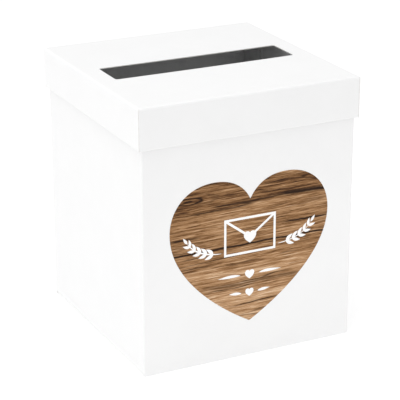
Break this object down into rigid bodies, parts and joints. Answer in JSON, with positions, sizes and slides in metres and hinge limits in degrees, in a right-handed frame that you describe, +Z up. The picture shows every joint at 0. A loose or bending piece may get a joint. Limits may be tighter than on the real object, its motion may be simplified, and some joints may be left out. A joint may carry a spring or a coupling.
{
  "type": "wedding card box",
  "caption": "Square white folding paperboard box with a lift-off lid that has a card slot, a tuck-in base and a wood-grain heart label on the front.",
  "frame": {"origin": "middle of the base, on the surface the box stands on", "axes": "+Z up, -Y out of the front face that carries the heart label, +X to the right of the front as one faces it, along the card slot"},
  "size_m": [0.2096, 0.2072, 0.242],
  "materials": {
    "white_board": "matte",
    "heart_label": "satin",
    "label_print": "satin"
  },
  "bodies": {
    "box": {"front_wall": "white_board", "back_wall": "white_board", "left_wall": "white_board", "right_wall": "white_board", "glue_flap": "white_board", "heart_label": "heart_label"},
    "base": {"base_panel": "white_board"},
    "tuck": {"base_tuck_tab": "white_board"},
    "left_flap": {"left_dust_flap": "white_board"},
    "right_flap": {"right_dust_flap": "white_board"},
    "lid": {"lid_top": "white_board", "lid_front_skirt": "white_board", "lid_back_skirt": "white_board", "lid_left_skirt": "white_board", "lid_right_skirt": "white_board", "lid_front_hem": "white_board", "lid_back_hem": "white_board", "lid_left_hem": "white_board", "lid_right_hem": "white_board", "lid_corner_tab_front_left": "white_board", "lid_corner_tab_front_right": "white_board", "lid_corner_tab_back_left": "white_board", "lid_corner_tab_back_right": "white_board"}
  },
  "joints": [
    {"name": "lid_lift", "type": "slide", "parent": "box", "child": "lid", "axis": [0, 0, 1], "range_m": [0, 0.08]},
    {"name": "base_hinge", "type": "hinge", "parent": "box", "child": "base", "pos_m": [0, 0.1, 0], "axis": [1, 0, 0], "range_deg": [0, 120]},
    {"name": "tuck_fold", "type": "hinge", "parent": "base", "child": "tuck", "pos_m": [0, -0.09831, 0.0008], "axis": [-1, 0, 0], "range_deg": [0, 60]},
    {"name": "left_flap_fold", "type": "hinge", "parent": "box", "child": "left_flap", "pos_m": [-0.1, 0, 0.0016], "axis": [0, -1, 0], "range_deg": [0, 85]},
    {"name": "right_flap_fold", "type": "hinge", "parent": "box", "child": "right_flap", "pos_m": [0.1, 0, 0.0016], "axis": [0, 1, 0], "range_deg": [0, 85]}
  ]
}
